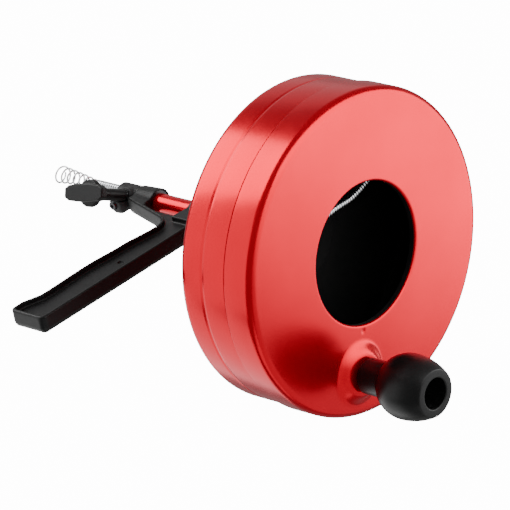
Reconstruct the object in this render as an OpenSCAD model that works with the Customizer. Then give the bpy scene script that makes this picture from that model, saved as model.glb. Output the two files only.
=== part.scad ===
// Pistol-grip drum drain auger.
// Origin: centre of the round access opening in the drum's crank-side face.
// +Y runs along the drum axis towards the cable tip, +Z is up. Millimetres.

/* [Drum] */
// Outside diameter of the crank-side cup
drum_d = 200; // [160:1:240]
// Outside depth of the two cups together
drum_depth = 59.2; // [50:0.1:80]
// Depth of the crank-side cup, which slips over the other one
front_cup_depth = 21.2; // [18:0.1:30]
// Sheet steel thickness
sheet = 1.2; // [0.8:0.1:1.6]
// Diameter of the access opening
opening_d = 87.2; // [60:0.1:100]
// Depth of the turned-in lip of the opening
lip_depth = 5; // [3:0.1:8]
// Outside radius of the crank-side shoulder
front_shoulder_r = 5; // [3:0.1:8]
// Outside radius of the tube-side shoulder
rear_shoulder_r = 6; // [3:0.1:8]

/* [Crank knob] */
// Distance from the drum axis to the knob axle
crank_radius = 72.5; // [65:0.5:75]
// Angle of the knob from straight down, about the drum axis
crank_roll = 4.75; // [0:0.05:360]
// Diameter of the pressed boss under the knob, at its foot
boss_d = 39; // [36:0.5:40]
// Height of the pressed boss
boss_h = 5.5; // [4:0.1:6]
// Largest diameter of the knob
knob_d = 40; // [36:0.5:44]
// Distance from the drum face to the knob's free end
knob_top = 60; // [55:0.5:65]

/* [Guide tube] */
// Outside diameter of the steel tube
tube_d = 12; // [12:0.5:12.5]
// Wall of the tube
tube_wall = 0.8; // [0.6:0.1:0.8]
// Where the tube ends, from the drum face
tube_end = 199.9; // [199:0.1:200]

/* [Handle] */
// Angle of the grip from straight down, about the drum axis
grip_roll = 75.4; // [0:0.1:360]
// Distance from the drum axis to the grip's free end
grip_reach = 152.5; // [148:0.5:160]
// Side-to-side thickness of the grip
grip_thick = 12.4; // [12:0.1:14]
// Back face of the grip, from the drum face
grip_back = 121.2; // [120:0.1:124]
// Front end of the bearing barrel
barrel_front = 186.5; // [186:0.1:187]
// Rear end of the bearing barrel
barrel_rear = 171; // [168:0.1:172]

/* [Chuck] */
// Front end of the chuck, from the drum face
chuck_front = 203; // [203:0.1:206]
// Outside diameter of the chuck body
chuck_d = 15.2; // [15:0.1:17]
// Angle of the thumbscrew from straight down, about the drum axis
screw_roll = 103.7; // [100:0.1:130]
// Position of the thumbscrew along the drum axis
screw_y = 193; // [193:0.1:194]

/* [Cable] */
// Outside diameter of the wound cable
cable_d = 4.6; // [4:0.1:4.6]
// Number of turns stored against the drum wall
stored_turns = 8; // [6:1:10]
// Largest diameter of the open-wound bulb head
bulb_d = 12.6; // [9:0.1:13]
// Turns of wire in the bulb head
bulb_turns = 7; // [4:1:9]

/* [Hidden] */
$fn = 96;

run_gap = 0.05;                  // radial clearance of a running fit
eps = 0.01;                      // overshoot of a cut
drum_r = drum_d / 2;
rear_r = drum_r - sheet - 0.1;   // outside radius of the cup that slips inside
opening_r = opening_d / 2;
skirt_start = 11;                // front edge of the rear cup, inside the front one
bead_y = 40;                     // rolled groove round the rear cup
bead_depth = 0.6;
dish_rise = 4;                   // raised hub panel in the middle of the rear wall
dish_foot_r = 34;
dish_top_r = 24;
dish_y = drum_depth + dish_rise;
pip_r = 1.7;                     // dimple beside the access opening
pip_at = [-2.5, 0, -47];

tube_r = tube_d / 2;
tube_bore_r = tube_r - tube_wall;
flange_r = 21;
flange_t = 2;
flange_collar_r = 9;
flange_collar_l = 5;
rivet_r = 2;
rivet_circle_r = 15.5;
ring_y = 171.7;                  // retaining ring in its groove behind the barrel bushing
ring_t = 0.9;
ring_groove = 0.4;

boss_top_r = 13;
axle_r = 4;
axle_head_r = 6.5;
axle_head_t = 4;
knob_foot = boss_h + 2.1;        // knob's foot, from the drum face
knob_neck_r = 11;
knob_end_r = 14.5;
knob_recess_r = 9.5;
knob_recess_floor = 36;
knob_wide = 39.5;                // where the knob is widest
sleeve_r = 6;

barrel_rear_r = 9.05;
barrel_front_r = 8.3;
root_ring_r = 9;                 // second bearing ring, at the grip's root
root_ring_front = 140;
bushing_r = 7.2;
ring_recess_r = 8;
ring_recess_floor = 173.5;
neck_r = 12;                     // concave turn from the keel into the grip
neck_at = [153.5, -33.9];
keel_slope = 16;                 // keel's fall from the barrel's front end to the neck
keel_front = 11.95;
grip_stations = [34, 62, 90, 130, 142];          // reaches where the grip's front edge changes
grip_front = [141.5, 144.2, 146, 145, 149.3];    // and where the edge is at each of them
grip_end_y = grip_front[4];
grip_corner_r = 4;
saddle_top = 13;                 // gap that leaves the tube in view between the two bearings
pocket_wall = 2.1;
pocket_depth = 3.7;
pocket_root = 20;
pocket_corner_r = 3;

chuck_rear = 187.15;
chuck_mouth_r = 6.3;             // bore in front of the tube's end
lobe_r = 6.6;
lobe_y = 196;
lobe_reach = 15;
lobe_round = 3.5;
set_screw_y = 197.4;
set_screw_r = 1.5;
screw_boss_r = 5.4;
screw_boss_reach = 9;
stud_r = 3;
stud_start = 6;
stud_end = 30;
pad_r = 2.6;
pad_start = 4;
wing_neck_r = 3.9;
wing_neck_start = 10.8;
wing_hub = [37.5, 41.6];         // reach of the hub disc's two faces
wing_hub_r = 8.6;
wing_bar = [32, 11.4, 5.4];      // length, width and thickness of the cross bar
wing_twist = 10;                 // bar's turn away from the drum axis

cable_r = cable_d / 2;
cable_offset = [0.6, 2.55];      // the cable lies against the tube wall: X and Z
cable_wall_gap = 0.4;
run_start = 61;
run_end = 227.4;
bulb_wire_r = 0.6;
bulb_end = 262;
coil_y = 4;
layer_step = 4.7;

// Places along Y
module along_y() rotate([-90, 0, 0]) children();
module turned(profile) along_y() rotate_extrude() polygon(profile);
module disc(r, from, to) translate([0, from, 0]) along_y() cylinder(r = r, h = to - from);
module ring(r_out, r_in, from, to) difference() {
  disc(r_out, from, to);
  disc(r_in, from - eps, to + eps);
}
// Turns children that point straight down to a chosen angle about the drum axis
module rolled(angle) rotate([0, angle, 0]) children();
// Stands children on a radial line that leaves the drum axis at a chosen angle
module radial(angle, y) rolled(angle) translate([0, y, 0]) rotate([180, 0, 0]) children();
// Centre of the crank knob's axle
module at_crank() rolled(crank_roll) translate([0, 0, -crank_radius]) children();

function arc(centre, r, from, to, steps = 10) =
  [for (i = [0:steps]) let(a = from + (to - from) * i / steps) centre + r * [cos(a), sin(a)]];
function unit(v) = v / norm(v);
function ease(t) = pow(sin(90 * t), 2);

// Tube or wire of radius r swept along a path; side keeps the rings from twisting
module sweep(path, r, side, sides = 10) {
  last = len(path) - 1;
  function heading(i) = unit(path[min(i + 1, last)] - path[max(i - 1, 0)]);
  function ring_points(i) =
    let(t = heading(i), n = unit(cross(t, side)), b = cross(t, n))
    [for (k = [0:sides - 1]) let(a = 360 * k / sides) path[i] + r * (n * cos(a) + b * sin(a))];
  walls = [for (i = [0:last - 1]) for (k = [0:sides - 1])
    let(a = i * sides + k, b = i * sides + (k + 1) % sides)
    each [[a, a + sides, b + sides], [a, b + sides, b]]];
  start_cap = [[for (k = [0:sides - 1]) k]];
  end_cap = [[for (k = [sides - 1:-1:0]) last * sides + k]];
  polyhedron([for (i = [0:last]) each ring_points(i)], concat(walls, start_cap, end_cap));
}

// ---- drum ----
module front_cup() {
  centre = [drum_r - front_shoulder_r, front_shoulder_r];
  turned(concat(
    [[opening_r, 0]],
    arc(centre, front_shoulder_r, 270, 360),
    [[drum_r, front_cup_depth], [drum_r - sheet, front_cup_depth]],
    arc(centre, front_shoulder_r - sheet, 360, 270),
    [[opening_r + sheet, sheet], [opening_r + sheet, lip_depth], [opening_r, lip_depth]]));
}

module front_shell() {
  color("#c4161c")
  difference() {
    union() {
      front_cup();
      at_crank() translate([0, -boss_h, 0]) along_y()
        cylinder(r1 = boss_top_r, r2 = boss_d / 2, h = boss_h + 0.5);
    }
    at_crank() translate([0, sheet - boss_h, 0]) along_y()
      cylinder(r1 = boss_top_r - sheet * 0.8, r2 = boss_d / 2 - sheet * 0.8, h = boss_h + 0.6);
    at_crank() disc(axle_r + run_gap, -boss_h - 1, 1);
    translate(pip_at) disc(pip_r, -1, 0.5);
  }
}

module rear_shell() {
  centre = [rear_r - rear_shoulder_r, drum_depth - rear_shoulder_r];
  inner_r = rear_r - sheet;
  color("#c4161c")
  difference() {
    turned(concat(
      [[rear_r, skirt_start], [rear_r, bead_y - 1], [rear_r - bead_depth, bead_y - 0.4],
       [rear_r - bead_depth, bead_y + 0.4], [rear_r, bead_y + 1]],
      arc(centre, rear_shoulder_r, 0, 90),
      [[dish_foot_r, drum_depth], [dish_top_r, dish_y], [tube_r + run_gap, dish_y],
       [tube_r + run_gap, dish_y - sheet], [dish_top_r - 0.5, dish_y - sheet],
       [dish_foot_r - 0.5, drum_depth - sheet]],
      arc(centre, rear_shoulder_r - sheet, 90, 0),
      [[inner_r, skirt_start]]));
    rivet_pattern() disc(rivet_r + run_gap, dish_y - 2 * sheet, dish_y + 1);
  }
}

module rivet_pattern() for (a = [45:90:315]) rolled(a) translate([0, 0, -rivet_circle_r]) children();

module hub_flange() {
  color("#b0141a")
  difference() {
    turned([[tube_r + run_gap, dish_y], [flange_r, dish_y], [flange_r, dish_y + flange_t - 0.5],
            [flange_r - 0.5, dish_y + flange_t], [flange_collar_r + 1, dish_y + flange_t],
            [flange_collar_r, dish_y + flange_t + 1], [flange_collar_r, dish_y + flange_collar_l + 1],
            [flange_collar_r - 1, dish_y + flange_collar_l + 2],
            [tube_r + run_gap, dish_y + flange_collar_l + 2]]);
    rivet_pattern() disc(rivet_r + run_gap, dish_y - 1, dish_y + flange_t + 1);
  }
}

module hub_rivets() {
  head_y = dish_y + flange_t;
  color("silver")
  rivet_pattern() turned([
    [0, dish_y - sheet - 1.3], [2.6, dish_y - sheet - 1.3], [3.2, dish_y - sheet - 0.7],
    [3.2, dish_y - sheet], [rivet_r, dish_y - sheet], [rivet_r, head_y], [3.6, head_y], [3.2, head_y + 0.9],
    [2.2, head_y + 1.5], [0, head_y + 1.7]]);
}

module guide_tube() {
  flare_y = dish_y - sheet;
  color("#c4161c")
  difference() {
    turned([[tube_r, flare_y], [tube_r, ring_y - run_gap], [tube_r - ring_groove, ring_y - run_gap],
            [tube_r - ring_groove, ring_y + ring_t + run_gap], [tube_r, ring_y + ring_t + run_gap],
            [tube_r, tube_end], [tube_bore_r, tube_end], [tube_bore_r, flare_y + 0.6],
            [tube_bore_r + 2.4, flare_y - 2.2], [tube_r + 2.3, flare_y - 1.8]]);
    radial(screw_roll, screw_y) cylinder(r = stud_r + 0.4, h = 2 * tube_r);
  }
}

module retaining_ring() {
  color("#3a3a3e")
  ring(ring_recess_r - 0.35, tube_r - ring_groove + run_gap, ring_y, ring_y + ring_t);
}

// ---- crank knob ----
module crank_axle() {
  head_from = -knob_recess_floor - 0.6;
  head_to = head_from - axle_head_t;
  color("silver")
  at_crank() {
    disc(axle_r, head_from, 3.4);
    difference() {
      turned([[0, head_to], [axle_head_r - 0.6, head_to], [axle_head_r, head_to + 0.6],
              [axle_head_r, head_from], [0, head_from]]);
      translate([0, head_to - 0.4, 0]) along_y() cylinder(r = 2.9, h = 2.6, $fn = 6);
    }
  }
}

module axle_nut() {
  color("silver")
  at_crank() difference() {
    translate([0, -boss_h + sheet + 1.25, 0]) along_y() cylinder(r = 7.5, h = 5.5, $fn = 6);
    disc(axle_r + run_gap, -boss_h, 10);
  }
}

module axle_washer() {
  color("silver")
  at_crank() ring(8.4, axle_r + run_gap, -boss_h + sheet, -boss_h + sheet + 1.2);
}

module knob_washer() {
  color("#55565a")
  at_crank() ring(8.5, axle_r + run_gap, -boss_h - 1.7, -boss_h - 0.05);
}

// Knob outline, from the foot out: straight neck, ball, flat end with a deep recess
module knob_ball() {
  ball_r = knob_d / 2;
  outer_r = (pow(knob_top - knob_wide, 2) + pow(ball_r - knob_end_r, 2)) / (2 * (ball_r - knob_end_r));
  outer_sweep = asin((knob_top - knob_wide) / outer_r);
  neck_sweep = acos(knob_neck_r / ball_r);
  color("#161617")
  at_crank() rotate([0, 0, 180]) turned(concat(
    [[sleeve_r, knob_foot], [knob_neck_r - 1, knob_foot], [knob_neck_r, knob_foot + 1]],
    arc([0, knob_wide], ball_r, -neck_sweep, 0, 14),
    arc([ball_r - outer_r, knob_wide], outer_r, 0, outer_sweep, 12),
    [[knob_recess_r, knob_top], [knob_recess_r, knob_recess_floor], [sleeve_r, knob_recess_floor]]));
}

module knob_sleeve() {
  color("#b7a16a")
  at_crank() ring(sleeve_r - 0.02, axle_r + run_gap, -knob_recess_floor, -knob_foot);
}

// ---- handle ----
function front_edge(s) =
  let(i = min(len([for (v = grip_stations) if (s >= v) v]), len(grip_stations) - 1) - 1,
      t = (s - grip_stations[i]) / (grip_stations[i + 1] - grip_stations[i]))
  grip_front[i] + (grip_front[i + 1] - grip_front[i]) * ease(min(1, t));

// Front edge from the neck to the end corner, moved inwards by a wall
function front_points(wall) = [for (s = [40:6:grip_reach - 8]) [front_edge(s) - wall, -s]];

// Outline of the handle's web, as [along the drum axis, down the grip]
grip_outline = concat(
  [[grip_back, 0], [root_ring_front, 0], [root_ring_front, -saddle_top], [barrel_rear, -saddle_top],
   [barrel_rear, 0], [barrel_front, 0], [barrel_front, -keel_front]],
  arc(neck_at, neck_r, 90 + keel_slope, 180),
  front_points(0),
  arc([grip_end_y - grip_corner_r, grip_corner_r - grip_reach], grip_corner_r, 0, -90, 6),
  arc([grip_back + grip_corner_r, grip_corner_r - grip_reach], grip_corner_r, -90, -180, 6));

// The pockets are open towards the tube between the two bearings
pocket_mouth = barrel_rear - 1.5;
pocket_keel = pocket_wall - keel_front - (barrel_front - pocket_mouth) * tan(keel_slope);
pocket_end = pocket_wall + pocket_corner_r;
pocket_outline = concat(
  [[grip_back + pocket_wall, -pocket_root], [root_ring_front + 1, -pocket_root],
   [root_ring_front + 1, 0], [pocket_mouth, 0], [pocket_mouth, pocket_keel]],
  arc(neck_at, neck_r + pocket_wall, 90 + keel_slope, 180),
  front_points(pocket_wall),
  arc([grip_end_y - pocket_end, pocket_end - grip_reach], pocket_corner_r, 0, -90, 4),
  arc([grip_back + pocket_end, pocket_end - grip_reach], pocket_corner_r, -90, -180, 4));

// Extrudes a [Y, Z] outline sideways
module web(outline, from, to) translate([from, 0, 0]) rotate([90, 0, 90])
  linear_extrude(to - from) polygon(outline);

module handle_grip() {
  half = grip_thick / 2;
  color("#1b1b1d")
  rolled(grip_roll) difference() {
    union() {
      web(grip_outline, -half, half);
      turned([[0, barrel_rear], [barrel_rear_r - 0.6, barrel_rear], [barrel_rear_r, barrel_rear + 0.6],
              [barrel_front_r, barrel_front - 0.5], [barrel_front_r - 0.5, barrel_front], [0, barrel_front]]);
      disc(root_ring_r, grip_back, root_ring_front);
    }
    disc(tube_r + 0.5, grip_back - 1, barrel_front + 1);
    disc(bushing_r, ring_recess_floor, barrel_front + 1);
    disc(bushing_r, grip_back - 1, root_ring_front - 2);
    disc(ring_recess_r, barrel_rear - 1, ring_recess_floor);
    web(pocket_outline, -half - 1, pocket_depth - half);
    web(pocket_outline, half - pocket_depth, half + 1);
    translate([pocket_depth - half - eps, 133.5, -74]) rotate([0, 90, 0]) cylinder(r = 1.5, h = 1.5);
  }
}

module front_bushing() {
  color("#d8d2c0")
  ring(bushing_r - 0.02, tube_r + run_gap, ring_recess_floor, barrel_front);
}

module rear_bushing() {
  color("#d8d2c0")
  ring(bushing_r - 0.02, tube_r + run_gap, grip_back, root_ring_front - 2);
}

module front_thrust_washer() {
  color("#d8d2c0")
  ring(bushing_r + 0.4, tube_r + run_gap, barrel_front, barrel_front + 0.5);
}

module rear_thrust_washer() {
  color("#d8d2c0")
  ring(ring_recess_r - 0.3, tube_r + run_gap, ring_y + ring_t + 0.15, ring_recess_floor);
}

// ---- chuck ----
module chuck_body() {
  color("#232325")
  difference() {
    union() {
      turned([[0, chuck_rear], [chuck_d / 2 - 0.4, chuck_rear], [chuck_d / 2, chuck_rear + 0.4],
              [chuck_d / 2, chuck_front - 0.6], [chuck_d / 2 - 0.6, chuck_front], [0, chuck_front]]);
      radial(grip_roll, lobe_y) rotate_extrude() polygon(concat(
        [[0, 0], [lobe_r, 0]], arc([lobe_r - lobe_round, lobe_reach - lobe_round], lobe_round, 0, 90, 8),
        [[0, lobe_reach]]));
      radial(screw_roll, screw_y) cylinder(r = screw_boss_r, h = screw_boss_reach);
    }
    disc(tube_r + 0.02, chuck_rear - 1, tube_end + 0.05);
    disc(chuck_mouth_r, tube_end, chuck_front + 1);
    radial(screw_roll, screw_y) {
      cylinder(r = stud_r + run_gap, h = 2 * lobe_reach);
      translate([0, 0, screw_boss_reach]) cylinder(r = wing_neck_r + 0.5, h = 2 * lobe_reach);
    }
    radial(grip_roll, set_screw_y) cylinder(r = set_screw_r + 0.02, h = lobe_reach + 1);
  }
}

module chuck_set_screw() {
  color("#101012")
  radial(grip_roll, set_screw_y) difference() {
    union() {
      translate([0, 0, tube_r]) cylinder(r = set_screw_r, h = lobe_reach - tube_r + 0.1);
      translate([0, 0, lobe_reach + 0.02]) cylinder(r1 = 2.9, r2 = 2.5, h = 1.3);
    }
    translate([0, 0, lobe_reach + 0.5]) cylinder(r = 1.2, h = 2, $fn = 6);
  }
}

module pressure_pad() {
  color("#b58a45")
  radial(screw_roll, screw_y) {
    translate([0, 0, pad_start]) cylinder(r = pad_r, h = 1.6);
    translate([0, 0, pad_start + 1.5]) cylinder(r = 1.1, h = 2);
  }
}

module clamp_stud() {
  color("silver")
  radial(screw_roll, screw_y) difference() {
    translate([0, 0, stud_start]) cylinder(r = stud_r, h = stud_end - stud_start);
    translate([0, 0, stud_start - eps]) cylinder(r = 1.15, h = 2);
  }
}

// Cross bar outline: a long hexagon with its two long sides bowed outwards
bar_outline = let(l = wing_bar[0] / 2, w = wing_bar[1] / 2, tip = w * 0.5,
                  bow = [for (i = [0:12]) let(x = -0.8 + 1.6 * i / 12) [l * x, w * (1 - 0.25 * x * x)]])
  concat([[-l, -tip]], [for (p = bow) [p[0], -p[1]]], [[l, -tip], [l, tip]],
         [for (i = [12:-1:0]) bow[i]], [[-l, tip]]);

module thumbscrew_wing() {
  hub_from = wing_hub[0];
  hub_to = wing_hub[1];
  color("#2c2c30")
  radial(screw_roll, screw_y) difference() {
    union() {
      rotate_extrude() polygon([
        [0, wing_neck_start], [wing_neck_r, wing_neck_start], [wing_neck_r, hub_from - 2],
        [wing_neck_r + 1.6, hub_from], [wing_hub_r - 0.8, hub_from], [wing_hub_r, hub_from + 0.8],
        [wing_hub_r, hub_to - 0.8], [wing_hub_r - 0.8, hub_to], [0, hub_to]]);
      rotate([0, 0, 90 + wing_twist]) translate([0, 0, hub_to - 0.5])
        linear_extrude(wing_bar[2]) polygon(bar_outline);
    }
    translate([0, 0, wing_neck_start - eps])
      cylinder(r = stud_r + 0.02, h = stud_end - wing_neck_start + 0.1);
  }
}

// ---- cable ----
coil_outer_r = rear_r - sheet - cable_wall_gap;
outer_turns = ceil(stored_turns / 2) + 1;

// Outer shape of the stored turns: one full layer on the drum wall and a part layer inside it
module cable_coil() {
  inner_r = coil_outer_r - cable_d - 0.866 * layer_step;
  width = outer_turns * layer_step;
  color("#a9abb0")
  turned([[coil_outer_r - 1, coil_y], [coil_outer_r, coil_y + 1], [coil_outer_r, coil_y + width - 1],
          [coil_outer_r - 1, coil_y + width], [coil_outer_r - cable_d, coil_y + width],
          [inner_r, coil_y + width - 2], [inner_r, coil_y + 2], [coil_outer_r - cable_d, coil_y]]);
}

// Route of the cable from the tube's mouth out to the stored turns
lead_route = [
  [0.6, 60.6, 2.55], [0.7, 57, 2.8], [1.6, 52, 4.2], [3.2, 47.6, 7], [6, 43.8, 10.8], [10, 41, 14.4],
  [14.7, 39.5, 17.3], [20.5, 38.8, 19.4], [26.8, 38.5, 21.3], [32.5, 38.3, 24], [37.8, 38, 27.4],
  [43.6, 37.6, 32], [48.6, 37, 37.6], [52, 36.3, 44.4], [53.4, 35.6, 52], [52.6, 34.9, 60],
  [49.4, 34.2, 68], [44, 33.5, 75.2], [37.2, 32.8, 80.6], [28.6, 32.2, 84.6],
  [20, 31.4, 88], [9, 30.6, 91.4]];

module cable_lead() {
  color("#b9bbc0")
  sweep(lead_route, cable_r, [1, 0, -0.05], 10);
}

module cable_run() {
  color("#b9bbc0")
  translate([cable_offset[0], 0, cable_offset[1]]) disc(cable_r, run_start, run_end);
}

// Open-wound head, growing from the cable's size to its full diameter at the tip
module bulb_head() {
  rings = 14 * bulb_turns;
  small_r = cable_r - bulb_wire_r - 0.2;
  large_r = bulb_d / 2 - bulb_wire_r;
  start_y = run_end + bulb_wire_r + 0.05;
  color("#c9ccd1")
  sweep([for (i = [0:rings])
    let(q = i / rings, r = small_r + (large_r - small_r) * pow(q, 0.8), a = 360 * bulb_turns * q)
    [cable_offset[0] + r * cos(a), start_y + (bulb_end - bulb_wire_r - start_y) * q,
     cable_offset[1] + r * sin(a)]],
    bulb_wire_r, [0, 1, 0], 8);
}

front_shell();
rear_shell();
hub_flange();
hub_rivets();
guide_tube();
retaining_ring();
chuck_body();
chuck_set_screw();
crank_axle();
axle_nut();
axle_washer();
knob_washer();
cable_coil();
cable_lead();
knob_ball();
knob_sleeve();
pressure_pad();
clamp_stud();
thumbscrew_wing();
cable_run();
bulb_head();
handle_grip();
front_bushing();
rear_bushing();
front_thrust_washer();
rear_thrust_washer();
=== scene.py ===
"""Looks of the drain auger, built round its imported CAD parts.

The object's lengths are in millimetres until a mesh is made. The camera, lights and stage are in metres.
"""

import math

import bmesh
import bpy
import numpy as np
from mathutils import Matrix, Vector


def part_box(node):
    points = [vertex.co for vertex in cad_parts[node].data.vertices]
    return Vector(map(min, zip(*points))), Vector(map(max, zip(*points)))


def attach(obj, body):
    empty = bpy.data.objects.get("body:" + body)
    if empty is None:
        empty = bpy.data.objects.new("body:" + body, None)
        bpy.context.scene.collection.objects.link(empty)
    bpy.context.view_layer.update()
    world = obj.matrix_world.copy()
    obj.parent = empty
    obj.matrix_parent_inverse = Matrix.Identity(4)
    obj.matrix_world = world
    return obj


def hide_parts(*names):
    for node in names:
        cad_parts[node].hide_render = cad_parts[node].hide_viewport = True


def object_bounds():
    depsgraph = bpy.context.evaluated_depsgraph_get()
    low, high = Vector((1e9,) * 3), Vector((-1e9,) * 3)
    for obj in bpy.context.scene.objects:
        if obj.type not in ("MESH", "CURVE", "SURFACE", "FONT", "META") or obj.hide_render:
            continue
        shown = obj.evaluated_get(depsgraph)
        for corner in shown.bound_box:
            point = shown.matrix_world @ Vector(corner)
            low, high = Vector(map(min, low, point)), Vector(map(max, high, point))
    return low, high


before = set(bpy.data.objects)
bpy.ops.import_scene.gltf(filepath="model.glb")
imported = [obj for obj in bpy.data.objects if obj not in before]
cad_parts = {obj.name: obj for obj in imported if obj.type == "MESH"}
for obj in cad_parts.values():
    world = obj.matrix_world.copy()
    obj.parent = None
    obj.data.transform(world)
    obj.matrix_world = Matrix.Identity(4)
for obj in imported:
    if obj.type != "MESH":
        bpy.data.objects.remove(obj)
cad_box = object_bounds()
MM = 0.001

# ---------------------------------------------------------------- camera
CAMERA_AT = (-1.7035, -1.5192, 0.6311)
CAMERA_FORWARD = Vector((0.7005, 0.662, -0.267)).normalized()
LENS = 283.8
SENSOR_WIDTH = 36

cam_data = bpy.data.cameras.new("camera")
cam_data.lens = LENS
cam_data.sensor_width = SENSOR_WIDTH
camera = bpy.data.objects.new("camera", cam_data)
bpy.context.scene.collection.objects.link(camera)
side = CAMERA_FORWARD.cross(Vector((0, 0, 1))).normalized()
up = side.cross(CAMERA_FORWARD)
camera_axes = Matrix((side, up, -CAMERA_FORWARD)).transposed().to_4x4()
camera.matrix_world = Matrix.Translation(CAMERA_AT) @ camera_axes
bpy.context.scene.camera = camera


# ---------------------------------------------------------------- sizes, from the frame where it has them
def span(node):
    """Lowest and highest corner of a CAD node, in millimetres."""
    low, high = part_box(node)
    return np.array(low) / MM, np.array(high) / MM


def middle(node):
    """Centre of a CAD node's box, in millimetres."""
    low, high = span(node)
    return (low + high) / 2


# Drum: radii, and distances along the drum axis from the crank-side face
SHEET = 1.2
front_low, front_high = span("front_shell")
rear_low, rear_high = span("rear_shell")
DRUM_R = front_high[0]
FRONT_DEPTH = front_high[1]
REAR_R = rear_high[0]
SKIRT_START = rear_low[1]
DISH_Y = rear_high[1]
DISH_RISE = 4
DRUM_DEPTH = DISH_Y - DISH_RISE
OPENING_R = 43.6
LIP_DEPTH = 5

# Pressed boss under the crank, and the pip beside the opening
CRANK = middle("axle_washer")[[0, 2]]
BOSS_H = -front_low[1]
BOSS_FOOT_R, BOSS_TOP_R = 19.5, 13
PIP_AT, PIP_R, PIP_DEPTH = (-2.5, -47.0), 2.0, 0.55

# Tube, handle, chuck and cable. A roll is an angle from straight down, about the drum axis.
TUBE_R = 6
TUBE_SEAT_R = TUBE_R + 0.05
GRIP_ROLL, SCREW_ROLL = 75.4, 103.7
GRIP_HALF = 6.2
GRIP_BACK = 121.2
GRIP_REACH = 152.5
BARREL = (171, 186.5)
BARREL_R = (9.05, 8.3)
CHUCK = (187.15, 203)
CHUCK_R = 7.6
SCREW_Y = 193
CABLE_R = 2.3
CABLE_OFFSET = np.array([0.6, 0, 2.55])


def down(angle):
    """Unit vector that points straight down, rolled by an angle about the drum axis."""
    a = math.radians(angle)
    return np.array([-math.sin(a), 0, -math.cos(a)])


def across(angle):
    """Unit vector square to down(angle) and to the drum axis."""
    a = math.radians(angle)
    return np.array([math.cos(a), 0, -math.sin(a)])


# ---------------------------------------------------------------- node materials
def material(name, colour, roughness, metallic=0.0, **sockets):
    """A Principled material and its shader node. Spaces in socket names are written as underscores."""
    made = bpy.data.materials.new(name)
    made.use_nodes = True
    shader = made.node_tree.nodes["Principled BSDF"]
    shader.inputs["Base Color"].default_value = (*colour, 1)
    shader.inputs["Roughness"].default_value = roughness
    shader.inputs["Metallic"].default_value = metallic
    for key, value in sockets.items():
        shader.inputs[key.replace("_", " ")].default_value = value
    return made, shader


def noise(mat, scale, detail, rough=0.55):
    """Noise node that reads object coordinates in metres, so that its grain has a real size."""
    nodes, links = mat.node_tree.nodes, mat.node_tree.links
    where = nodes.new("ShaderNodeTexCoord")
    grain = nodes.new("ShaderNodeTexNoise")
    grain.inputs["Scale"].default_value = scale
    grain.inputs["Detail"].default_value = detail
    grain.inputs["Roughness"].default_value = rough
    links.new(where.outputs["Object"], grain.inputs["Vector"])
    return grain.outputs["Fac"]


def vary_colour(mat, shader, source, low, high):
    """Lets the base colour drift from low to high over the middle of a noise's range."""
    nodes, links = mat.node_tree.nodes, mat.node_tree.links
    node = nodes.new("ShaderNodeValToRGB")
    stops = node.color_ramp.elements
    stops[0].position, stops[1].position = 0.3, 0.7
    stops[0].color, stops[1].color = (*low, 1), (*high, 1)
    links.new(source, node.inputs["Fac"])
    links.new(node.outputs["Color"], shader.inputs["Base Color"])


def vary_roughness(mat, shader, source, low, high):
    """Roughness from low to high as a noise goes from 0 to 1."""
    nodes, links = mat.node_tree.nodes, mat.node_tree.links
    node = nodes.new("ShaderNodeMapRange")
    node.inputs["To Min"].default_value, node.inputs["To Max"].default_value = low, high
    links.new(source, node.inputs["Value"])
    links.new(node.outputs["Result"], shader.inputs["Roughness"])


def bump(mat, shader, source, height, strength):
    """Bump of a real height in millimetres."""
    nodes, links = mat.node_tree.nodes, mat.node_tree.links
    node = nodes.new("ShaderNodeBump")
    node.inputs["Distance"].default_value = height * MM
    node.inputs["Strength"].default_value = strength
    links.new(source, node.inputs["Height"])
    links.new(node.outputs["Normal"], shader.inputs["Normal"])


def red_paint():
    """Red enamel: red-tinted sheen, slight orange peel, a little colour drift, fine handling haze."""
    mat, shader = material("red_enamel", (0.8, 0.001, 0.018), 0.3, metallic=0.55, Specular_IOR_Level=0.08)
    vary_colour(mat, shader, noise(mat, 18, 3), (0.74, 0.0005, 0.016), (0.84, 0.0015, 0.02))
    vary_roughness(mat, shader, noise(mat, 60, 5), 0.2, 0.28)
    bump(mat, shader, noise(mat, 420, 2), 0.008, 0.5)
    return mat


def black_primer_and_seam_shade():
    """Bare black primer inside the drum; on the rear cup's outside it is also painted shade in the seam
    recess.
    """
    mat, shader = material("black_primer_and_seam_shade", (0.004, 0.004, 0.004), 0.75, Specular_IOR_Level=0.15)
    vary_colour(mat, shader, noise(mat, 90, 4), (0.003, 0.003, 0.003), (0.006, 0.005, 0.005))
    bump(mat, shader, noise(mat, 900, 3), 0.03, 0.5)
    return mat


def black_moulding(name, tone, gloss):
    """Black moulded plastic with a fine spark-eroded grain. gloss is its middle roughness."""
    mat, shader = material(name, (tone,) * 3, gloss, Specular_IOR_Level=0.22)
    dark, light = (tone * 0.8,) * 3, (tone * 1.25, tone * 1.25, tone * 1.3)
    vary_colour(mat, shader, noise(mat, 35, 4), dark, light)
    vary_roughness(mat, shader, noise(mat, 150, 4), gloss - 0.07, gloss + 0.07)
    bump(mat, shader, noise(mat, 1900, 3, 0.7), 0.02, 0.5)
    return mat


def bright_steel(name, tone, low, high, scale=300):
    """Bare or plated metal with a fine grain, its roughness from low to high."""
    mat, shader = material(name, tone, (low + high) / 2, 1.0)
    dark = tuple(c * 0.82 for c in tone)
    vary_colour(mat, shader, noise(mat, scale / 4, 4), dark, tone)
    grain = noise(mat, scale, 4)
    vary_roughness(mat, shader, grain, low, high)
    bump(mat, shader, grain, 0.01, 0.5)
    return mat


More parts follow.
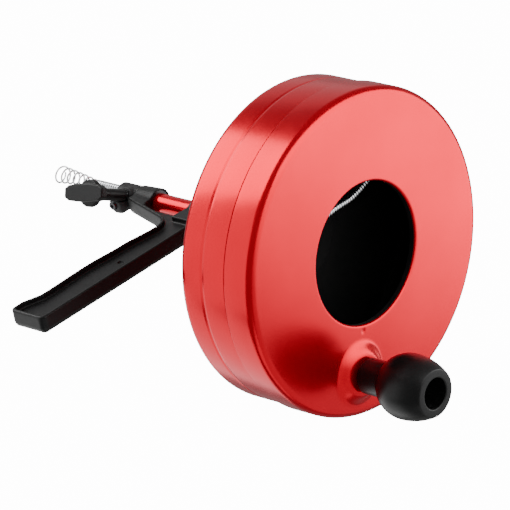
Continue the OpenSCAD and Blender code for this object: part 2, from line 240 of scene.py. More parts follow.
def nylon():
    """Natural nylon, a little translucent."""
    mat, shader = material("nylon", (0.72, 0.69, 0.6), 0.45, Subsurface_Weight=0.05)
    vary_colour(mat, shader, noise(mat, 120, 3), (0.66, 0.63, 0.54), (0.76, 0.73, 0.65))
    bump(mat, shader, noise(mat, 1500, 2), 0.01, 0.4)
    return mat


RED = red_paint()
# Black primer for the drum's inside, also painted shade in the rear cup's seam recess.
PRIMER_AND_SEAM_SHADE = black_primer_and_seam_shade()
GRIP_BLACK = black_moulding("black_moulding", 0.009, 0.42)
KNOB_BLACK = black_moulding("black_knob", 0.006, 0.36)
CHUCK_BLACK = black_moulding("black_chuck", 0.03, 0.45)
DARK_STEEL = bright_steel("black_oxide", (0.05, 0.05, 0.053), 0.3, 0.45)
ZINC = bright_steel("zinc_plate", (0.66, 0.67, 0.69), 0.2, 0.34)
SPRING = bright_steel("spring_wire", (0.66, 0.67, 0.69), 0.2, 0.34, 900)
BULB_STEEL = bright_steel("bulb_wire", (0.84, 0.85, 0.87), 0.14, 0.26, 900)
BRASS = bright_steel("brass", (0.72, 0.5, 0.22), 0.22, 0.36)
NYLON = nylon()


# ---------------------------------------------------------------- mesh tools
def finish_mesh(name, bm, body, mats, stands_for, sharp=38):
    """Turns a bmesh in millimetres into a piece. Edges that bend more than sharp degrees stay crisp."""
    bmesh.ops.scale(bm, vec=(MM, MM, MM), verts=bm.verts)
    bmesh.ops.recalc_face_normals(bm, faces=bm.faces)
    limit = math.radians(sharp)
    for edge in bm.edges:
        edge.smooth = len(edge.link_faces) != 2 or edge.calc_face_angle(0) < limit
    for face in bm.faces:
        face.smooth = True
    mesh = bpy.data.meshes.new(name)
    bm.to_mesh(mesh)
    bm.free()
    for mat in mats:
        mesh.materials.append(mat)
    piece = bpy.data.objects.new(name, mesh)
    bpy.context.scene.collection.objects.link(piece)
    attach(piece, body)
    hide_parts(*stands_for)


def rounded(corners, closed=True, step=11):
    """Points of an outline given as (x, y) or (x, y, fillet radius) corners.

    A fillet takes up to 0.49 of each edge beside it, so its radius is less than asked for where an edge is
    short. step is the most degrees that one stretch of a fillet turns.
    """
    points = []
    count = len(corners)
    for i, corner in enumerate(corners):
        p = np.array(corner[:2], float)
        r = corner[2] if len(corner) > 2 else 0
        if not r or (not closed and i in (0, count - 1)):
            points.append(p)
            continue
        before = np.array(corners[i - 1][:2], float) - p
        after = np.array(corners[(i + 1) % count][:2], float) - p
        u, v = before / np.linalg.norm(before), after / np.linalg.norm(after)
        half = math.acos(np.clip(u @ v, -1, 1)) / 2
        if half > math.radians(88):
            points.append(p)
            continue
        cut = min(r / math.tan(half), 0.49 * np.linalg.norm(before), 0.49 * np.linalg.norm(after))
        r = cut * math.tan(half)
        centre = p + (u + v) / np.linalg.norm(u + v) * r / math.sin(half)
        a, b = p + u * cut - centre, p + v * cut - centre
        turn = math.atan2(a[0] * b[1] - a[1] * b[0], a @ b)
        parts = max(2, math.ceil(abs(math.degrees(turn)) / step))
        for k in range(parts + 1):
            t = turn * k / parts
            points.append(centre + np.array([a[0] * math.cos(t) - a[1] * math.sin(t),
                                             a[0] * math.sin(t) + a[1] * math.cos(t)]))
    return points


def spin(bm, profile, sides, centre=(0, 0), closed=True, mat_of=None):
    """Adds the surface that an (r, y) outline sweeps round an axis along Y."""
    rings = []
    angles = [2 * math.pi * k / sides for k in range(sides)]
    for r, y in profile:
        if r < 1e-6:
            rings.append([bm.verts.new((centre[0], y, centre[1]))])
        else:
            rings.append([bm.verts.new((centre[0] + r * math.sin(a), y, centre[1] + r * math.cos(a)))
                          for a in angles])
    pairs = len(rings) if closed else len(rings) - 1
    for i in range(pairs):
        one, two = rings[i], rings[(i + 1) % len(rings)]
        for k in range(sides):
            n = (k + 1) % sides
            corner = [one[k % len(one)], one[n % len(one)], two[n % len(two)], two[k % len(two)]]
            face = bm.faces.new(list(dict.fromkeys(corner)))
            if mat_of:
                face.material_index = mat_of(i)


def smoothstep(t):
    """Smooth rise from 0 to 1 as t goes from 0 to 1."""
    t = np.clip(t, 0, 1)
    return t * t * (3 - 2 * t)


# ---------------------------------------------------------------- smooth moulded shapes from distance fields
def blend_union(a, b, k):
    """a and b together, with a smooth fillet of about k where they meet."""
    h = np.clip(0.5 + 0.5 * (b - a) / k, 0, 1)
    return b + (a - b) * h - k * h * (1 - h)


def blend_cut(a, b, k):
    """a with b taken away, its edges rounded by about k."""
    return -blend_union(-a, b, k)


def edged(flat, height, half, edge):
    """Distance to a slab: flat is the distance to its outline and height that from its middle plane."""
    q = np.stack([flat + edge, np.abs(height) - half + edge], -1)
    return np.minimum(q.max(-1), 0) + np.linalg.norm(np.maximum(q, 0), axis=-1) - edge


def about_axis(points, at, along):
    """How far along an axis the points lie, and how far out from it."""
    rel = points - np.array(at, float)
    reach = rel @ along
    return reach, np.linalg.norm(rel - reach[:, None] * along, axis=1)


def rod(points, at, along, radius, start, end, edge):
    """Distance to a round bar. radius may be a number or an array."""
    reach, away = about_axis(points, at, along)
    return edged(away - radius, reach - (start + end) / 2, (end - start) / 2, edge)


def outline_distance(x, y, outline):
    """Signed distance to a closed 2-D outline, below zero inside it."""
    best = np.full(x.shape, 1e9)
    inside = np.zeros(x.shape, bool)
    for a, b in zip(outline, outline[1:] + outline[:1]):
        ex, ey = b[0] - a[0], b[1] - a[1]
        wx, wy = x - a[0], y - a[1]
        t = np.clip((wx * ex + wy * ey) / max(ex * ex + ey * ey, 1e-12), 0, 1)
        best = np.minimum(best, (wx - ex * t) ** 2 + (wy - ey * t) ** 2)
        if ey:
            crosses = (a[1] > y) != (b[1] > y)
            inside ^= crosses & (x < ex * (y - a[1]) / ey + a[0])
    return np.where(inside, -1, 1) * np.sqrt(best)


def field_mesh(field, low, high, pitch):
    """Closed quad mesh on the surface field(points) = 0.

    Each grid cell that the surface crosses gets one vertex, which is then walked along the field's slope
    until it lies on the surface.
    """
    walks, probe, least_slope = 7, 0.02, 0.05
    axes = [np.arange(a - 2 * pitch, b + 2.5 * pitch, pitch) for a, b in zip(low, high)]
    grid = np.stack(np.meshgrid(*axes, indexing="ij"), -1)
    inside = (field(grid.reshape(-1, 3)) < 0).reshape(grid.shape[:3])
    n = [s - 1 for s in inside.shape]
    corners = sum(
        inside[i:i + n[0], j:j + n[1], k:k + n[2]].astype(int) for i in (0, 1) for j in (0, 1) for k in (0, 1)
    )
    mixed = (corners > 0) & (corners < 8)
    index = np.full(mixed.shape, -1)
    index[mixed] = np.arange(mixed.sum())
    verts = grid[:-1, :-1, :-1][mixed] + pitch / 2
    for _ in range(walks):
        value = field(verts)
        slope = np.stack([field(verts + d) - field(verts - d) for d in np.eye(3) * probe], -1) / (2 * probe)
        size = np.maximum((slope ** 2).sum(1), least_slope)
        verts = verts - slope * np.clip(value / size, -pitch, pitch)[:, None]
    faces = []
    for axis in range(3):
        first = np.take(inside, range(n[axis]), axis)
        second = np.take(inside, range(1, n[axis] + 1), axis)
        spots = np.argwhere(first != second)
        one, two = (axis + 1) % 3, (axis + 2) % 3
        spots = spots[(spots[:, one] > 0) & (spots[:, two] > 0)]
        spots = spots[(spots[:, one] < n[one]) & (spots[:, two] < n[two])]
        a, b = np.eye(3, dtype=int)[one], np.eye(3, dtype=int)[two]
        here = np.zeros(3, int)
        quad = np.stack([index[tuple((spots - s).T)] for s in (a + b, b, here, a)], 1)
        turned = first[tuple(spots.T)]
        quad[~turned] = quad[~turned][:, ::-1]
        faces.append(quad)
    return verts, np.concatenate(faces)


def moulded(name, field, low, high, pitch, to_row, body, mats, stands_for):
    """A piece on the surface of a distance field. to_row turns the field's own axes into the row frame."""
    verts, faces = field_mesh(field, low, high, pitch)
    bm = bmesh.new()
    made = [bm.verts.new(v) for v in to_row(verts)]
    for quad in faces:
        if len(set(quad)) == 4:
            bm.faces.new([made[i] for i in quad])
    bmesh.ops.remove_doubles(bm, verts=bm.verts, dist=0.01)
    finish_mesh(name, bm, body, mats, stands_for, sharp=50)


# ---------------------------------------------------------------- drum
def front_cup():
    """Crank-side cup: rounded shoulder, turned-in lip, pressed boss and pip, black inside."""
    inner_r, lip_r = DRUM_R - SHEET, OPENING_R + SHEET
    face_step, shortest_face = 0.95, 20
    outline = rounded([
        (OPENING_R, LIP_DEPTH, 0.4), (OPENING_R, 0, 1.5), (DRUM_R, 0, 5), (DRUM_R, FRONT_DEPTH, 1.1),
        (inner_r, FRONT_DEPTH, 0.05), (inner_r, SHEET, 3.8), (lip_r, SHEET, 0.4),
        (lip_r, LIP_DEPTH, 0.4)], step=9)
    fine = []
    for a, b in zip(outline, outline[1:] + outline[:1]):
        gap = np.linalg.norm(b - a)
        flat = abs(a[1] - b[1]) < 1e-6 and gap > shortest_face
        parts = math.ceil(gap / face_step) if flat else 1
        fine += [a + (b - a) * k / parts for k in range(parts)]

    # The outline runs from the lip's end over the outside to the rim, then back along the black inside.
    lip_end = next(i for i, (r, y) in enumerate(fine) if y < 1.6)
    black_from = next(i for i, (r, y) in enumerate(fine) if y > FRONT_DEPTH - 0.6 and r < inner_r + 0.3)
    bm = bmesh.new()
    spin(bm, fine, 512, mat_of=lambda i: int(i < lip_end or i >= black_from))

    # The slope is a little wider than the boss's nominal foot and top, which softens both bends.
    foot_r = BOSS_FOOT_R + 1.2
    slope = BOSS_FOOT_R - BOSS_TOP_R + 2.6
    for v in bm.verts:
        x, y, z = v.co
        away = math.hypot(x - CRANK[0], z - CRANK[1])
        on_face = y < 3 and OPENING_R + 0.8 < math.hypot(x, z) < DRUM_R - 3
        if on_face and away < foot_r:
            v.co.y -= (BOSS_H - 0.02) * float(smoothstep((foot_r - away) / slope))
        dent = math.hypot(x - PIP_AT[0], z - PIP_AT[1])
        if y < 0.1 and dent < PIP_R:
            v.co.y += PIP_DEPTH * float(smoothstep((PIP_R - dent) / (PIP_R * 0.8)))
    finish_mesh("drum_front_cup", bm, "drum", [RED, PRIMER_AND_SEAM_SHADE], ["front_shell"], sharp=60)


def rear_cup():
    """Tube-side cup: recess by the front cup's rim, coloured black as painted shade for the seam line, rolled
    bead, raised hub panel, black inside.
    """
    bead_y, bead, bead_half = 40, 0.35, 1.6
    seam_y, seam = FRONT_DEPTH - 0.2, 1.0
    inner_r, inner_depth, inner_dish = REAR_R - SHEET, DRUM_DEPTH - SHEET, DISH_Y - SHEET
    panel_foot_r, panel_r, inset = 34, 24, 0.5
    profile = rounded([
        (REAR_R, SKIRT_START, 0.4), (REAR_R, seam_y - 1, 0.2), (REAR_R - seam, seam_y, 0.2),
        (REAR_R - seam, seam_y + 1.1, 0.2), (REAR_R, seam_y + 1.5, 0.3), (REAR_R, bead_y - bead_half, 1),
        (REAR_R - bead, bead_y, 0.8), (REAR_R, bead_y + bead_half, 1), (REAR_R, DRUM_DEPTH, 6),
        (panel_foot_r, DRUM_DEPTH, 2.5), (panel_r, DISH_Y, 2.5), (TUBE_SEAT_R, DISH_Y),
        (TUBE_SEAT_R, inner_dish), (panel_r - inset, inner_dish, 2.5),
        (panel_foot_r - inset, inner_depth, 2.5), (inner_r, inner_depth, 4.8),
        (inner_r, SKIRT_START, 0.4)], step=9)
    black_from = next(i for i, (r, y) in enumerate(profile) if r < TUBE_R + 1 and y < DISH_Y - 0.5)
    # Faces of the seam recess get the black primer as painted shade, for the dark line under the front cup's
    # rim.
    seam_shade_mask = [seam_y - 1.1 < y < seam_y + 1.2 and r > REAR_R - 1.1 for r, y in profile]
    bm = bmesh.new()
    spin(bm, profile, 384, mat_of=lambda i: int(i >= black_from or seam_shade_mask[i]))
    finish_mesh("drum_rear_cup", bm, "drum", [RED, PRIMER_AND_SEAM_SHADE], ["rear_shell"], sharp=60)


front_cup()
rear_cup()

flange_low, flange_high = span("hub_flange")
FLANGE_FACE = flange_low[1] + 2


def hub_flange():
    """Flange and collar that hold the tube to the rear cup."""
    flange_r, collar_r = flange_high[0], 9
    bm = bmesh.new()
    spin(bm, rounded([
        (TUBE_SEAT_R, flange_low[1]), (flange_r, flange_low[1], 0.2), (flange_r, FLANGE_FACE, 0.7),
        (collar_r, FLANGE_FACE, 1.4), (collar_r, flange_high[1], 1.2), (TUBE_SEAT_R, flange_high[1])]), 160)
    finish_mesh("hub_flange_ring", bm, "drum", [RED], ["hub_flange"])


hub_flange()


def rivets():
    """Four domed rivets through the hub flange."""
    count, circle_r, shank_r, tail_r, head_r = 4, 15.5, 2, 3.2, 3.6
    low, high = span("hub_rivets")
    foot = low[1] + 1.3
    profile = rounded([(0, low[1]), (tail_r, low[1], 1.1), (tail_r, foot, 0.1), (shank_r, foot),
                       (shank_r, FLANGE_FACE), (head_r, FLANGE_FACE, 0.1), (3.0, FLANGE_FACE + 1.0, 1.2),
                       (0, high[1])], closed=False)
    bm = bmesh.new()
    for k in range(count):
        way = down(45 + 90 * k) * circle_r
        spin(bm, profile, 40, (way[0], way[2]), closed=False)
    finish_mesh("hub_rivet_heads", bm, "drum", [ZINC], ["hub_rivets"])


rivets()


# ---------------------------------------------------------------- crank knob
def knob():
    """Ball knob: straight neck, bowed sides, end ring round a recess. Heights start at the drum face."""
    low, high = span("knob_ball")
    foot, top = -high[1], -low[1]
    ball_r = (high[0] - low[0]) / 2
    wide, neck_r, end_r, recess_r, recess_floor, sleeve_r = 39.5, 11, 14.5, 9.5, 36, 6
    outer_r = ((top - wide) ** 2 + (ball_r - end_r) ** 2) / (2 * (ball_r - end_r))
    sweep_out = math.asin((top - wide) / outer_r)
    sweep_in = math.acos(neck_r / ball_r)
    inner = [(ball_r * math.cos(a), wide + ball_r * math.sin(a))
             for a in np.linspace(-sweep_in + 0.08, 0, 22)]
    outer = [(ball_r - outer_r + outer_r * math.cos(a), wide + outer_r * math.sin(a))
             for a in np.linspace(0, sweep_out, 18)[1:-1]]
    start = wide - ball_r * math.sin(sweep_in)
    corners = ([(sleeve_r, foot, 0.3), (neck_r, foot, 1.1), (neck_r, start - 0.4, 1.6)] + inner + outer
               + [(end_r, top, 1.3), (recess_r, top, 0.9), (recess_r, recess_floor, 0.8),
                  (sleeve_r, recess_floor, 0.2)])
    bm = bmesh.new()
    spin(bm, [(r, -y) for r, y in rounded(corners, step=8)], 160, CRANK)
    finish_mesh("crank_knob", bm, "knob", [KNOB_BLACK], ["knob_ball"], sharp=50)


knob()


# ---------------------------------------------------------------- handle
def ease(t):
    """Rise from 0 to 1 that starts and ends level."""
    return math.sin(math.pi / 2 * t) ** 2


def front_edge(s):
    """Front of the grip, along the drum axis, at a distance s down the grip."""
    stations, front = (34, 62, 90, 130, 142), (141.5, 144.2, 146, 145, 149.3)
    i = min(sum(s >= v for v in stations), len(stations) - 1) - 1
    t = min(1, (s - stations[i]) / (stations[i + 1] - stations[i]))
    return front[i] + (front[i + 1] - front[i]) * ease(t)


def arc(centre, r, start, end, parts):
    """Points on a circle from one angle to another, in degrees."""
    return [(centre[0] + r * math.cos(math.radians(a)), centre[1] + r * math.sin(math.radians(a)))
            for a in np.linspace(start, end, parts + 1)]


def handle():
    """Moulded pistol grip with its bearing barrel.

    The field's axes are X across the grip, Y along the drum axis and Z up the grip.
    """
    corner, wall, depth, ring_front, saddle_top = 4, 2.1, 3.7, 140, 13
    neck, neck_r, slope, keel = (153.5, -33.9), 12, 16, 11.95
    pocket_start, pocket_corner, pocket_back = 20, 3, BARREL[0] - 1.5
    far_edge, near_edge = 4.8, 1.3
    dimple_at, dimple_r = (depth - GRIP_HALF, 133.5, -74), 1.8
    bore_r, bushing_r, relief_r = 6.6, 7.22, 8.0
    reaches = np.arange(40, GRIP_REACH - 8, 6)
    keel_back = wall - keel - (BARREL[1] - BARREL[0] + 1.5) * math.tan(math.radians(slope))
    end_y, inner = front_edge(GRIP_REACH), wall + pocket_corner
    outline = ([(GRIP_BACK, 0), (BARREL[1], 0), (BARREL[1], -keel)] + arc(neck, neck_r, 90 + slope, 180, 14)
               + [(front_edge(s), -s) for s in reaches]
               + arc((end_y - corner, corner - GRIP_REACH), corner, 0, -90, 8)
               + arc((GRIP_BACK + corner, corner - GRIP_REACH), corner, -90, -180, 8))
    pocket = ([(GRIP_BACK + wall, -pocket_start), (ring_front + 1, -pocket_start), (ring_front + 1, 8),
               (pocket_back, 8), (pocket_back, keel_back)] + arc(neck, neck_r + wall, 90 + slope, 180, 14)
              + [(front_edge(s) - wall, -s) for s in reaches]
              + arc((end_y - inner, inner - GRIP_REACH), pocket_corner, 0, -90, 6)
              + arc((GRIP_BACK + inner, inner - GRIP_REACH), pocket_corner, -90, -180, 6))
    saddle_outline = [(ring_front, 20), (BARREL[0], 20), (BARREL[0], -saddle_top), (ring_front, -saddle_top)]
    axis = np.array([0, 1, 0])

    def field(p):
        x, y, z = p.T
        body = edged(outline_distance(y, z, outline), x, GRIP_HALF, np.where(x > 0, far_edge, near_edge))
        taper = BARREL_R[0] + (BARREL_R[1] - BARREL_R[0]) * (y - BARREL[0]) / (BARREL[1] - BARREL[0])
        barrel = rod(p, (0, 0, 0), axis, taper, BARREL[0], BARREL[1] - 0.05, 0.7)
        root = rod(p, (0, 0, 0), axis, 9 - 0.02, GRIP_BACK, ring_front, 0.7)
        solid = blend_union(blend_union(body, barrel, 2.2), root, 1.6)
        saddle = edged(outline_distance(y, z, saddle_outline), x, 12, 0.1)
        solid = blend_cut(solid, saddle, 0.4)
        hollow = edged(outline_distance(y, z, pocket), np.abs(x) - GRIP_HALF - 8 + depth, 8, 0.9)
        solid = blend_cut(solid, hollow, 0.9)
        dimple = np.linalg.norm(p - np.array(dimple_at), axis=1) - dimple_r
        solid = blend_cut(solid, dimple, 0.3)
        bore = np.hypot(x, z)
        solid = np.maximum(solid, bore_r - bore)
        at_bushing = (y > BARREL[0] + 2.5) | (y < ring_front - 2)
        seats = np.where(at_bushing, bushing_r - bore, np.where(y > 160, relief_r - bore, -1.0))
        return np.maximum(solid, seats)

    turn = math.radians(GRIP_ROLL)
    c, s = math.cos(turn), math.sin(turn)

    def to_row(v):
        return np.stack([v[:, 0] * c + v[:, 2] * s, v[:, 1], -v[:, 0] * s + v[:, 2] * c], 1)

    low, high = (-GRIP_HALF - 3, GRIP_BACK, -GRIP_REACH), (GRIP_HALF + 3, BARREL[1], 9.1)
    moulded("handle_moulding", field, low, high, 0.62, to_row, "handle", [GRIP_BLACK],
            ["handle_grip"])


handle()


# ---------------------------------------------------------------- chuck and thumbscrew
def chuck():
    """Chuck nose: round body, screw boss and clamp lobe run together."""
    lobe_y, lobe_r, lobe_reach = 196, 6.6, 15
    boss_r, boss_reach = 5.4, 9
    tube_end, mouth_r, thread_r, counterbore_r = 199.95, 6.3, 3.06, 4.4
    axis = np.array([0, 1, 0])
    lobe_way, screw_way = down(GRIP_ROLL), down(SCREW_ROLL)

    def field(p):
        bore = np.hypot(p[:, 0], p[:, 2])
        solid = rod(p, (0, 0, 0), axis, CHUCK_R, *CHUCK, 0.8)
        solid = blend_union(solid, rod(p, (0, lobe_y, 0), lobe_way, lobe_r, 0, lobe_reach, 3.4), 1.6)
        solid = blend_union(solid, rod(p, (0, SCREW_Y, 0), screw_way, boss_r, 0, boss_reach, 0.5), 1.2)
        solid = np.maximum(solid, np.where(p[:, 1] > tube_end, mouth_r, TUBE_R + 0.03) - bore)
        reach, away = about_axis(p, (0, SCREW_Y, 0), screw_way)
        hole = np.where(reach > boss_reach, counterbore_r, thread_r) - away
        return np.where(reach > 0, np.maximum(solid, hole), solid)

    moulded("chuck_nose", field, (-16, CHUCK[0], -8), (8, CHUCK[1], 8), 0.36, lambda v: v, "drum",
            [CHUCK_BLACK], ["chuck_body"])


chuck()


def wing():
    """Thumbscrew head: long cross bar over a hub disc on a straight neck. Field Z is the screw's own axis."""
    half_l, half_w, thick, hub, hub_r, neck_r, neck_start = 16, 5.7, 5.4, (37.5, 41.6), 8.6, 3.9, 10.8
    stud_r, stud_end = 3.02, 30.1
    tip = half_w * 0.5
    bow = [(half_l * x, half_w * (1 - 0.25 * x * x)) for x in np.linspace(-0.8, 0.8, 13)]
    bar = ([(-half_l, -tip)] + [(x, -w) for x, w in bow] + [(half_l, -tip), (half_l, tip)]
           + [(x, w) for x, w in reversed(bow)] + [(-half_l, tip)])
    bar_foot = hub[1] - 0.5
    twist = math.radians(100)
    axis = np.array([0, 0, 1])

    def field(p):
        x = p[:, 0] * math.cos(twist) + p[:, 1] * math.sin(twist)
        y = -p[:, 0] * math.sin(twist) + p[:, 1] * math.cos(twist)
        solid = edged(outline_distance(x, y, bar), p[:, 2] - bar_foot - thick / 2, thick / 2, 0.9)
        disc = rod(p, (0, 0, 0), axis, hub_r, *hub, 0.9)
        neck = rod(p, (0, 0, 0), axis, neck_r, neck_start, hub[1], 0.4)
        solid = blend_union(blend_union(solid, disc, 0.7), neck, 1.6)
        hole = rod(p, (0, 0, 0), axis, stud_r, neck_start - 3, stud_end, 0.05)
        return np.maximum(solid, -hole)

    field_axes = np.stack([across(SCREW_ROLL), np.array([0, -1, 0]), down(SCREW_ROLL)])

    def to_row(v):
        return v @ field_axes + np.array([0, SCREW_Y, 0])

    low, high = (-16.5, -16.5, neck_start), (16.5, 16.5, bar_foot + thick)
    moulded("thumbscrew_head", field, low, high, 0.36, to_row, "thumbscrew", [GRIP_BLACK],
            ["thumbscrew_wing"])


wing()


# ---------------------------------------------------------------- cable
WIRE_PITCH = 1.9
RIB_STEP = 0.27
RIB_SIDES = 18
STORED_TURNS = 8
OUTER_TURNS = 4.5
LAY = 4.7


def along_path(points, step):
    """Evenly spaced points on the smooth curve through a route."""
    pts = np.array(points, float)
    pts = np.vstack([2 * pts[0] - pts[1], pts, 2 * pts[-1] - pts[-2]])
    dense = []
    for i in range(1, len(pts) - 2):
        a, b, c, d = pts[i - 1:i + 3]
        for t in np.linspace(0, 1, 24, endpoint=False):
            dense.append(0.5 * (2 * b + (c - a) * t + (2 * a - 5 * b + 4 * c - d) * t * t
                                + (3 * b - a - 3 * c + d) * t ** 3))
    dense = np.array(dense + [pts[-2]])
    run = np.concatenate([[0], np.cumsum(np.linalg.norm(np.diff(dense, axis=0), axis=1))])
    at = np.arange(0, run[-1], step)
    return np.stack([np.interp(at, run, dense[:, k]) for k in range(3)], 1)


def sweep_mesh(bm, path, radius_of, sides, side):
    """Adds a capped tube along a path. radius_of(ring, angle) gives its radius; side never lies along it."""
    path = np.array(path)
    ahead = np.gradient(path, axis=0)
    ahead /= np.linalg.norm(ahead, axis=1)[:, None]
    n = np.cross(ahead, side)
    n /= np.linalg.norm(n, axis=1)[:, None]
    b = np.cross(ahead, n)
    rings = []
    for i, p in enumerate(path):
        ring = []
        for k in range(sides):
            a = 2 * math.pi * k / sides
            ring.append(bm.verts.new(p + radius_of(i, a) * (n[i] * math.cos(a) + b[i] * math.sin(a))))
        rings.append(ring)
    for one, two in zip(rings, rings[1:]):
        for k in range(sides):
            bm.faces.new([one[k], one[(k + 1) % sides], two[(k + 1) % sides], two[k]])
    bm.faces.new(rings[0])
    bm.faces.new(rings[-1][::-1])


def wound(name, path, step, sides, side, body, stands_for):
    """Cable wound from one close-laid wire, as a tube with a helical rib."""
    wire = WIRE_PITCH / 2

    def rib(i, a):
        phase = (i * step / WIRE_PITCH + a / (2 * math.pi)) % 1
        return CABLE_R - wire * 0.75 * (1 - math.sqrt(max(0.0, 1 - (2 * phase - 1) ** 2)))

    bm = bmesh.new()
    sweep_mesh(bm, path, rib, sides, side)
    finish_mesh(name, bm, body, [SPRING], stands_for, sharp=75)


LEAD_ROUTE = [
    (0.6, 60.6, 2.55), (0.7, 57, 2.8), (1.6, 52, 4.2), (3.2, 47.6, 7), (6, 43.8, 10.8), (10, 41, 14.4),
    (14.7, 39.5, 17.3), (20.5, 38.8, 19.4), (26.8, 38.5, 21.3), (32.5, 38.3, 24), (37.8, 38, 27.4),
    (43.6, 37.6, 32), (48.6, 37, 37.6), (52, 36.3, 44.4), (53.4, 35.6, 52), (52.6, 34.9, 60),
    (49.4, 34.2, 68), (44, 33.5, 75.2), (37.2, 32.8, 80.6), (28.6, 32.2, 84.6),
    (20, 31.4, 88), (9, 30.6, 91.4)]
RIB_SIDE = (1, 0, -0.05)
lead_path = along_path(LEAD_ROUTE, RIB_STEP)
wound("cable_lead_wound", lead_path, RIB_STEP, RIB_SIDES, RIB_SIDE, "drum", ["cable_lead"])

run_low, run_high = span("cable_run")
run_path = [(CABLE_OFFSET[0], y, CABLE_OFFSET[2]) for y in np.arange(run_low[1], run_high[1], RIB_STEP)]
wound("cable_run_wound", run_path, RIB_STEP, RIB_SIDES, RIB_SIDE, "cable", ["cable_run"])


def stored_turns():
    """Eight turns against the drum wall: out along the wall, then back inside them."""
    low, high = span("cable_coil")
    outer, inner_step = high[0] - CABLE_R, 0.866 * LAY
    layer_y = high[1] - CABLE_R
    first_x, first_y, first_z = LEAD_ROUTE[-1]
    start, first_r = math.atan2(first_x, first_z), math.hypot(first_x, first_z)
    step = 0.48
    points = []
    turn = 0.0
    while turn < STORED_TURNS:
        settle = float(smoothstep(turn / 0.5))
        if turn < OUTER_TURNS:
            y = layer_y - LAY * max(0.0, turn - 0.5)
            r = outer
        else:
            y = layer_y - LAY * 4 + LAY * (turn - OUTER_TURNS)
            r = outer - inner_step * float(smoothstep((turn - OUTER_TURNS) / 0.3))
        y = first_y + (y - first_y) * settle
        r = first_r + (r - first_r) * settle
        a = start - 2 * math.pi * turn
        points.append((r * math.sin(a), y, r * math.cos(a)))
        turn += step / (2 * math.pi * r)
    wound("cable_stored_turns", points, step, 10, (0, 1, 0), "drum", ["cable_coil"])


stored_turns()


def bulb():
    """Open-wound head that grows from the cable's size to its full diameter."""
    low, high = span("bulb_head")
    wire_r, turns, parts = 0.6, 7, 28
    small, large = CABLE_R - wire_r - 0.2, (high[0] - low[0]) / 2 - wire_r - 0.02
    start, end = low[1] + wire_r, high[1] - wire_r
    path = []
    for i in range(turns * parts + 1):
        q = i / (turns * parts)
        r = small + (large - small) * q ** 0.8
        a = 2 * math.pi * turns * q
        y = start + (end - start) * q
        path.append((CABLE_OFFSET[0] + r * math.cos(a), y, CABLE_OFFSET[2] + r * math.sin(a)))
    bm = bmesh.new()
    sweep_mesh(bm, path, lambda i, a: wire_r, 12, (0, 1, 0))
    finish_mesh("bulb_head_wire", bm, "cable", [BULB_STEEL], ["bulb_head"], sharp=60)


bulb()

# ---------------------------------------------------------------- CAD pieces that stay as they are
KEPT = [
    (RED, ["guide_tube"]),
    (DARK_STEEL, ["retaining_ring", "chuck_set_screw", "knob_washer"]),
    (ZINC, ["crank_axle", "axle_nut", "axle_washer", "clamp_stud"]),
    (BRASS, ["knob_sleeve", "pressure_pad"]),
    (NYLON, ["front_bushing", "rear_bushing", "front_thrust_washer", "rear_thrust_washer"])]
for mat, kept_nodes in KEPT:
    for node in kept_nodes:
        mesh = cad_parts[node].data
        mesh.materials.clear()
        mesh.materials.append(mat)
        mesh.shade_smooth()
        mesh.set_sharp_from_angle(angle=math.radians(35))

# ---------------------------------------------------------------- floor and light
FLOOR_Z = cad_box[0].z - 0.0005
FLOOR_HALF = 6.0


def sheet_mesh(name, corners, mat):
    """Flat sheet of the stage, which is not part of the object."""
    mesh = bpy.data.meshes.new(name)
    mesh.from_pydata(corners, [], [tuple(range(len(corners)))])
    mesh.materials.append(mat)
    card = bpy.data.objects.new(name, mesh)
    bpy.context.scene.collection.objects.link(card)
    return card


# The floor glows near white for the camera and sheds no light on the object, whose reflections show only
# the cards below and the world.
floor_mat, floor_shader = material("pale_floor", (0.85, 0.85, 0.85), 0.9, Specular_IOR_Level=0.0,
                                   Emission_Color=(1, 1, 1, 1), Emission_Strength=14.0)
vary_colour(floor_mat, floor_shader, noise(floor_mat, 3, 2), (0.84, 0.84, 0.84), (0.86, 0.86, 0.86))
floor_corners = [(x * FLOOR_HALF, y * FLOOR_HALF, FLOOR_Z) for x, y in ((-1, -1), (1, -1), (1, 1), (-1, 1))]
floor = sheet_mesh("floor", floor_corners, floor_mat)
floor.visible_diffuse = False
floor.visible_glossy = False

world = bpy.data.worlds.new("studio")
bpy.context.scene.world = world
world.use_nodes = True
world.node_tree.nodes["Background"].inputs["Color"].default_value = (1, 1, 1, 1)
world.node_tree.nodes["Background"].inputs["Strength"].default_value = 0.35

LAMP_TARGET = Vector((0, 0.1, 0))


def softbox(name, at, size, power):
    """Square lamp that faces the object and is left out of reflections."""
    data = bpy.data.lights.new(name, "AREA")
    data.shape = "RECTANGLE"
    data.size = data.size_y = size
    data.energy = power
    lamp = bpy.data.objects.new(name, data)
    bpy.context.scene.collection.objects.link(lamp)
    lamp.location = at
    lamp.rotation_mode = "QUATERNION"
    lamp.rotation_quaternion = (LAMP_TARGET - Vector(at)).to_track_quat("-Z", "Y")
    lamp.visible_glossy = False


def glow(name, strength):
    """A material that gives off plain white light, and its shader node."""
    return material(name, (0, 0, 0), 1.0, Specular_IOR_Level=0.0, Emission_Color=(1, 1, 1, 1),
                    Emission_Strength=strength)


def only_reflected(sheet):
    """Hides a card from everything but reflections."""
    sheet.visible_camera = sheet.visible_diffuse = sheet.visible_shadow = False


def card(name, seen_from, towards, distance, long_way, size, strength):
    """White card that only reflections see, square to the direction in which it lies from a point."""
    towards = Vector(towards).normalized()
    centre = Vector(seen_from) + towards * distance
    u = Vector(long_way)
    u = (u - towards * u.dot(towards)).normalized() * size[0] / 2
    v = towards.cross(u).normalized() * size[1] / 2
    corners = [centre - u - v, centre + u - v, centre + u + v, centre - u + v]
    only_reflected(sheet_mesh(name, corners, glow(name, strength)[0]))


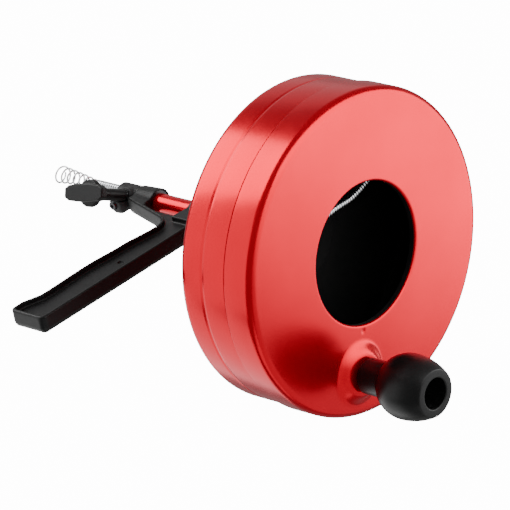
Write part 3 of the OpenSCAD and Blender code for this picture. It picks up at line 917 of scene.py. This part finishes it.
def face_card():
    """Card in front of the drum face that dims towards its lower left, as the face's sheen does."""
    ahead, shift_x, shift_z = 0.15, 0.159, -0.061
    way_x, way_z = 0.45, 0.893
    middle_at = way_x * shift_x + way_z * shift_z
    made, shader = glow("face_card", 1)
    nodes, links = made.node_tree.nodes, made.node_tree.links
    where = nodes.new("ShaderNodeTexCoord")
    reach = nodes.new("ShaderNodeVectorMath")
    reach.operation = "DOT_PRODUCT"
    reach.inputs[1].default_value = (way_x, 0, way_z)
    links.new(where.outputs["Object"], reach.inputs[0])
    fade = nodes.new("ShaderNodeMapRange")
    fade.inputs["From Min"].default_value = middle_at - 0.085
    fade.inputs["From Max"].default_value = middle_at + 0.075
    fade.inputs["To Min"].default_value = 1.0
    fade.inputs["To Max"].default_value = 5.6
    links.new(reach.outputs["Value"], fade.inputs["Value"])
    links.new(fade.outputs["Result"], shader.inputs["Emission Strength"])
    x0, x1, z0, z1 = shift_x - 0.3, shift_x + 0.35, shift_z - 0.3, shift_z + 0.3
    corners = [(x0, -ahead, z0), (x1, -ahead, z0), (x1, -ahead, z1), (x0, -ahead, z1)]
    only_reflected(sheet_mesh("face_card", corners, made))


softbox("key", (-1.3, 0.2, 1.9), 1.4, 6)
softbox("fill", (0.6, -1.8, 1.2), 1.2, 6)
DRUM_SIDE = (-0.08, 0.06, 0.0)
card("back_left_card", (-0.076, 0.06, 0.064), (-0.38, 0.662, 0.63), 0.9, (-0.82, 0, -0.57), (0.64, 0.9), 7.2)
card("left_card", DRUM_SIDE, (-0.74, 0.662, -0.05), 1.0, (-0.3, 0, 1), (1.15, 1.1), 2.1)
card("low_card", DRUM_SIDE, (-0.15, 0.662, -0.735), 0.8, (0.8, 0, -0.13), (0.75, 0.9), 2.4)
card("back_right_card", (-0.02, 0.06, 0.1), (0.56, 0.662, 0.49), 1.0, (0.6, 0, -0.7), (0.6, 0.9), 0.8)
card("front_low_card", (-0.08, 0.0, -0.06), (-0.22, -0.5, -0.84), 0.8, (1, 0, 0), (0.7, 0.5), 1.8)
face_card()
